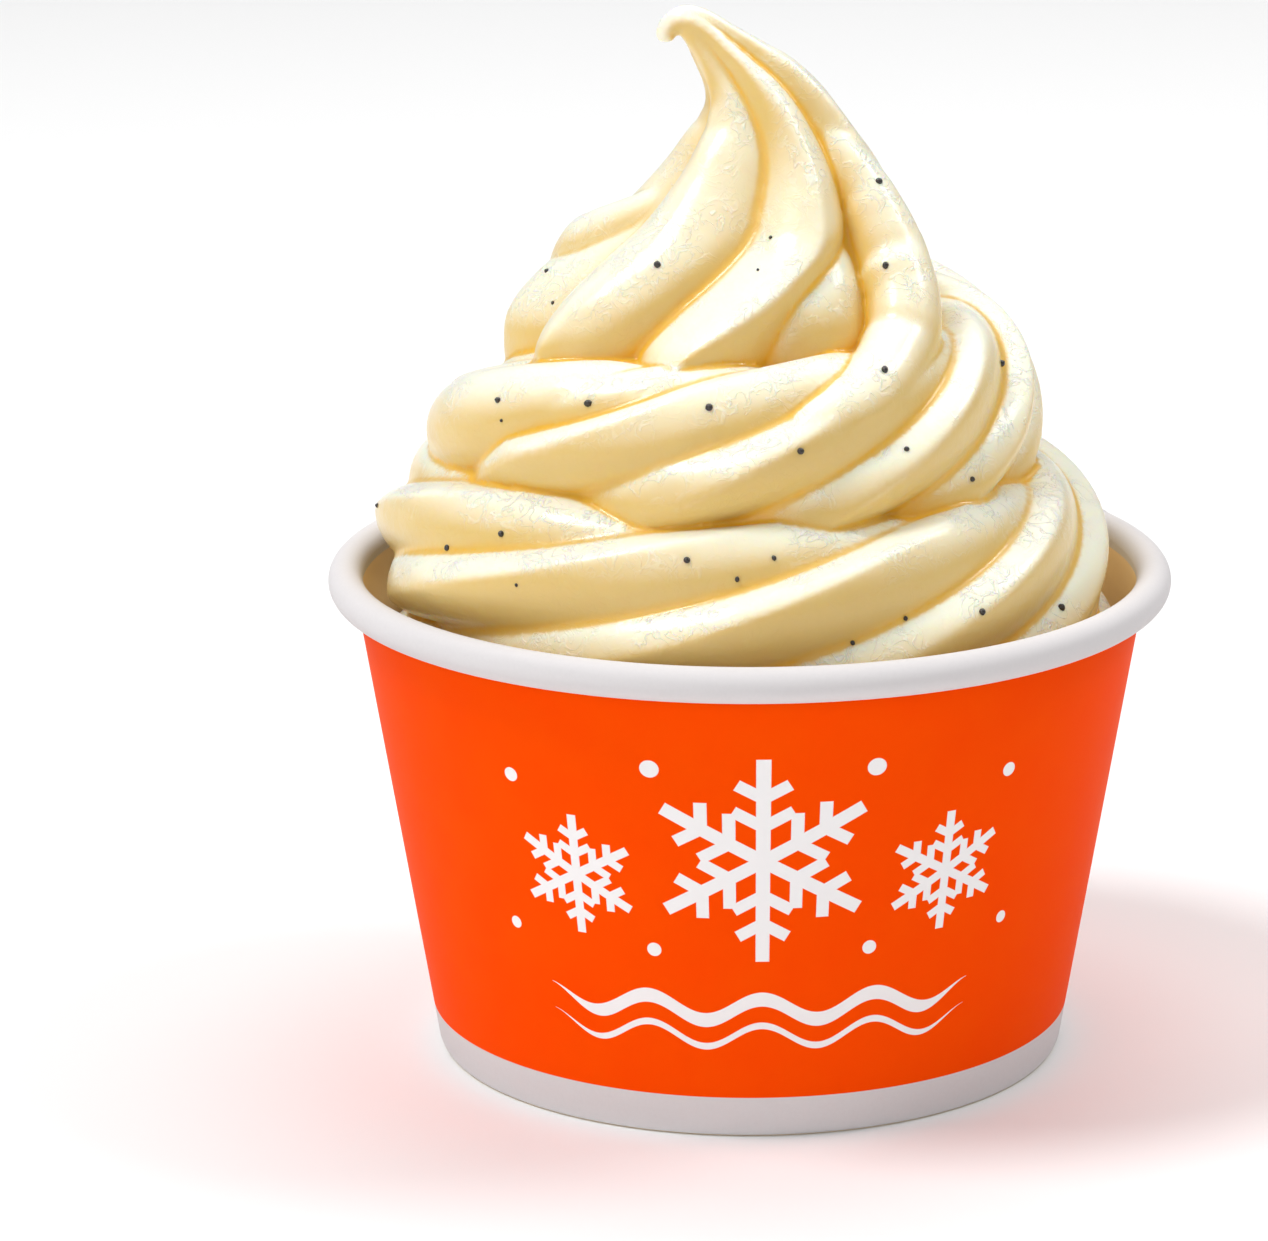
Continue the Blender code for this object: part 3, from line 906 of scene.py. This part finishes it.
# ice white goes on as a painted highlight on the crests, and as ice flecks with painted glints in the
# crackle
yogurt.set("Base Color", yogurt.mix((crackle * patch | crest) * ICE_AND_HIGHLIGHT_SHARE, body, ICE_AND_HIGHLIGHT))
swell = yogurt.noise(3.2 * MM, detail=2)
relief = crackle * (BARE_CRACKLE + (1 - BARE_CRACKLE) * patch) + 1.2 * swell
yogurt.set("Normal", yogurt.bump(relief, RELIEF))
yogurt.set("Roughness", 0.26 + 0.12 * yogurt.noise(1.5 * MM))
print("finish", yogurt.material.name, "has", len(yogurt.tree.nodes), "nodes")

# %% Make the grains' finish
SEED_BLACK = (0.004, 0.003, 0.003, 1)
SEED_BROWN = (0.02, 0.012, 0.008, 1)

vanilla = Finish("vanilla_grain", Specular_IOR_Level=0.6, Coat_Weight=0.4, Coat_Roughness=0.1)
hull = vanilla.noise(0.25 * MM, detail=2)
vanilla.set("Base Color", vanilla.mix(hull, SEED_BLACK, SEED_BROWN))
vanilla.set("Roughness", 0.22 + 0.2 * hull)
vanilla.set("Normal", vanilla.bump(hull, 0.05 * MM, 0.6))
print("finish", vanilla.material.name, "has", len(vanilla.tree.nodes), "nodes")

# %% [markdown]
# ## The paper's finishes
# The board is white, with fine fibres under a thin coating. It is opaque here, so a warm, matched tint on
# the inside stands for light that likely comes through the print and back from the yogurt.
# The outside of the wall is printed a strong orange between the curl and a white foot band, with hardly
# any gloss, so that the ink keeps the strength it has in the picture. How far a point lies beyond the
# middle of the board tells the outside from the inside.

# %% Fibres and coating that both papers share
BOARD_WHITE = (0.70, 0.675, 0.68, 1)
BOARD_GREY = (0.66, 0.635, 0.64, 1)
BOARD_WARM = (1.0, 0.78, 0.48, 1)
WHITE_INK = (0.93, 0.92, 0.92, 1)


def paper_skin(finish):
    """Colour of bare board, with its bump and gloss set on the finish."""
    fibres = finish.noise(0.5 * MM, detail=4, roughness=0.6, distortion=0.6)
    wave = finish.noise(18 * MM, detail=1)
    finish.set("Normal", finish.bump(fibres * 0.4 + wave, 0.07 * MM, 0.35))
    finish.set("Roughness", 0.42 + 0.12 * fibres)
    return finish.mix(finish.step(fibres, 0.35, 0.8) * 0.4, BOARD_WHITE, BOARD_GREY)


plain_paper = Finish("plain_paper", IOR=1.45)
plain_paper.set("Base Color", paper_skin(plain_paper))
print("finish", plain_paper.material.name, "has", len(plain_paper.tree.nodes), "nodes")

# %% Where the ink is
ORANGE = (1.0, 0.082, 0.0, 1)
ORANGE_DEEP = (1.0, 0.064, 0.0, 1)
FOOT_BAND = 4.83 * MM
PRINT_TOP = (ROLL_HEIGHT - 0.6) * MM
OUTER_FACE = (0.1 * MM, 0.75 * MM)
INK_EDGE = 0.05 * MM

print_finish = Finish("printed_paper", IOR=1.45, Specular_IOR_Level=0.012)
x, y, z = print_finish.axes()
across_axis = (x * x + y * y) ** 0.5
board_middle = wall_middle(0) * MM + z * ((WALL_TOP_RADIUS - WALL_FOOT_RADIUS) / ROLL_HEIGHT)
beyond = across_axis - board_middle


def above(value, edge):
    """1 where the value is over the edge, with a soft border as wide as ink spreads."""
    return print_finish.step(value, edge - INK_EDGE, edge + INK_EDGE)


below_rim = 1 - above(z, PRINT_TOP)
outside = above(beyond, OUTER_FACE[0]) & (1 - above(beyond, OUTER_FACE[1]))
printed = outside & above(z, FOOT_BAND) & below_rim
inside = (1 - above(beyond, 0)) & below_rim

# %% [markdown]
# ## The design
# The design on the wall is free work: snow crystals and dots over two waves, printed in white. It is
# reckoned from the distance round the wall and the height, so it lies on the paper as ink does. That
# distance comes from the tangent, which is the same on the front and on the back, so the design is on
# both. A crystal is one half arm: the angle round its centre is folded twelve times, like cut paper.

# %% The place on the wall, and the strokes of the pen
FRONT_AZIMUTH = 2.0
PRINT_RADIUS = 40.0

turn = math.radians(FRONT_AZIMUTH)
ahead = x * math.sin(turn) - y * math.cos(turn)
aside = x * math.cos(turn) + y * math.sin(turn)
round_wall = print_finish.math("ARCTANGENT", aside / ahead) * (PRINT_RADIUS * MM)
mirrored = abs(round_wall)


def stroke(distance, half_width):
    """1 within half a width, in mm, of where the distance is 0."""
    return 1 - print_finish.step(distance, half_width * MM - INK_EDGE, half_width * MM + INK_EDGE)


def dot(u, centre_u, centre_v, radius):
    du, dv = u - centre_u * MM, z - centre_v * MM
    return stroke((du * du + dv * dv) ** 0.5, radius)


# %% A snow crystal
HALF_ARM = math.radians(30)
BRANCH_SIN, BRANCH_COS = math.sin(math.radians(60)), math.cos(math.radians(60))
BRANCHES = ((0.34, 0.30), (0.62, 0.26))
BRANCH_WIDTH = 0.9


def crystal(u, centre_u, centre_v, reach, half_width):
    """A six-armed snow crystal, folded so that one half arm is drawn twelve times."""
    du, dv = u - centre_u * MM, z - centre_v * MM
    distance = (du * du + dv * dv) ** 0.5
    folded = print_finish.math("PINGPONG", print_finish.math("ARCTAN2", dv, du) + HALF_ARM, HALF_ARM)
    along = distance * print_finish.math("COSINE", folded)
    across = distance * print_finish.math("SINE", folded)
    shape = stroke(across, half_width) & stroke(along, reach)
    for start, length in BRANCHES:
        behind = along - start * reach * MM
        off_line = abs(behind * BRANCH_SIN - across * BRANCH_COS)
        on_line = behind * BRANCH_COS + across * BRANCH_SIN
        branch = stroke(off_line, half_width * BRANCH_WIDTH) & stroke(on_line, length * reach)
        shape = shape | (branch & above(on_line, 0))
    return shape


# %% Print the crystals, dots and waves
CRYSTALS = ((0, 33.5, 12.0, 0.75), (20.5, 30.5, 7.0, 0.5))
DOTS = ((11.5, 44.0, 1.0), (27.5, 41.0, 0.8), (12.0, 22.5, 0.8), (29.5, 23.0, 0.7))
WAVES = ((15.6, 0.85), (12.4, 0.4))
WAVE_LENGTH = 13.0 * MM
WAVE_SWELL = 1.3 * MM
WAVE_TAPER = (17.0 * MM, 26.0 * MM)
WAVE_END = 0.02

shapes = [crystal(mirrored, *row) for row in CRYSTALS] + [dot(mirrored, *row) for row in DOTS]
design = shapes[0]
for shape in shapes[1:]:
    design = design | shape
rise = print_finish.math("COSINE", round_wall * (2 * math.pi / WAVE_LENGTH)) * WAVE_SWELL
taper = print_finish.step(mirrored, *WAVE_TAPER, 1.0, 0.0)
for height, half_width in WAVES:
    off_wave = abs(z - height * MM - rise)
    design = design | (above(taper * (half_width * MM) - off_wave, 0) & above(taper, WAVE_END))
ink = print_finish.mix(print_finish.noise(6 * MM, detail=4), ORANGE, ORANGE_DEEP)
board = print_finish.mix(inside, paper_skin(print_finish), BOARD_WARM)
print_finish.set("Base Color", print_finish.mix(printed, board, print_finish.mix(design, ink, WHITE_INK)))
print("finish", print_finish.material.name, "has", len(print_finish.tree.nodes), "nodes")

# %% [markdown]
# ## Dress the pieces
# Each new piece gets its finish and rides on the one rigid body, and the CAD nodes that the pieces
# replace are hidden. The bottom disc keeps its CAD shape, because only its flat underside is ever seen.

# %% Give the pieces their finishes and their places in the frame
wear(swirl, yogurt.material)
wear(seeds, vanilla.material)
wear(wall, print_finish.material)
wear(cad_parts["cup_bottom"], plain_paper.material)
for piece, slot in ((swirl, "frozen_yogurt"), (seeds, "frozen_yogurt"), (wall, "printed_paper")):
    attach(piece, "root")
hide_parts("frozen_yogurt")
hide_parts("cup_wall")

# %% [markdown]
# ## The studio
# The cup stands on a pale sweep: a floor that curves up into a wall, with no corner behind the cup.

# %% Build the sweep
SWEEP_SIZE = 6.0
SWEEP_BACK = 2.0
SWEEP_ROUND = 1.0
SWEEP_STEPS = 16
SWEEP_WHITE = (0.86, 0.86, 0.86, 1)

let_go()
bpy.ops.mesh.primitive_plane_add(size=SWEEP_SIZE, location=(0, SWEEP_BACK - SWEEP_SIZE / 2, 0))
sweep = bpy.context.object
sweep.name = "sweep"
bpy.ops.object.transform_apply(location=True, rotation=True, scale=True)
bpy.ops.object.mode_set(mode="EDIT")
bpy.ops.mesh.select_mode(type="EDGE")
bpy.ops.mesh.select_all(action="DESELECT")
work = bmesh.from_edit_mesh(sweep.data)
for edge in work.edges:
    edge.select_set(all(vert.co.y > SWEEP_BACK - 0.01 for vert in edge.verts))
bmesh.update_edit_mesh(sweep.data)
angles = [math.radians(90) * i / SWEEP_STEPS for i in range(SWEEP_STEPS + 1)]
bend = [(math.sin(a) * SWEEP_ROUND, (1 - math.cos(a)) * SWEEP_ROUND) for a in angles]
bend.append((bend[-1][0], bend[-1][1] + SWEEP_SIZE / 2))
for (back, up), (next_back, next_up) in zip(bend, bend[1:]):
    move = (0, next_back - back, next_up - up)
    bpy.ops.mesh.extrude_edges_move(TRANSFORM_OT_translate={"value": move})
bpy.ops.mesh.faces_shade_smooth()
bpy.ops.object.mode_set(mode="OBJECT")
sweep_finish = Finish("sweep_paper", Roughness=0.9, Specular_IOR_Level=0.1)
sweep_finish.set("Base Color", SWEEP_WHITE)
wear(sweep, sweep_finish.material)
print("the sweep is", SWEEP_SIZE, "m wide")

# %% [markdown]
# Four soft lights make the picture. The key light hangs high on the left and models the ridges. One on
# the right keeps that side bright, a wide one overhead whitens the faces that look up and the floor,
# and one in front lights the print and the lower faces. The world fills what they leave.

# %% Hang the lights: place, size and power
LIGHTS = {
    "key_light": ((-0.58, -0.16, 1.10), 0.4, 7.8),
    "right_light": ((0.76, 0.13, 0.98), 0.4, 4.0),
    "overhead_light": ((0.1, 0.55, 1.25), 1.2, 7.5),
    "front_light": ((-0.55, -1.15, 0.50), 1.0, 3.8),
}
LIT_HEIGHT = 0.06
WORLD_STRENGTH = 0.36

for name, (place, size, power) in LIGHTS.items():
    light = bpy.data.lights.new(name, "AREA")
    light.shape = "DISK"
    light.size, light.energy = size, power
    holder = bpy.data.objects.new(name, light)
    holder.location = place
    towards = Vector((0, 0, LIT_HEIGHT)) - Vector(place)
    holder.rotation_euler = towards.to_track_quat("-Z", "Y").to_euler()
    bpy.context.scene.collection.objects.link(holder)

world = bpy.data.worlds.new("studio")
bpy.context.scene.world = world
world.use_nodes = True
background = world.node_tree.nodes["Background"]
background.inputs["Color"].default_value = (1, 1, 1, 1)
background.inputs["Strength"].default_value = WORLD_STRENGTH
bpy.context.scene.view_settings.view_transform = "Standard"
print(len(LIGHTS), "lights hung")
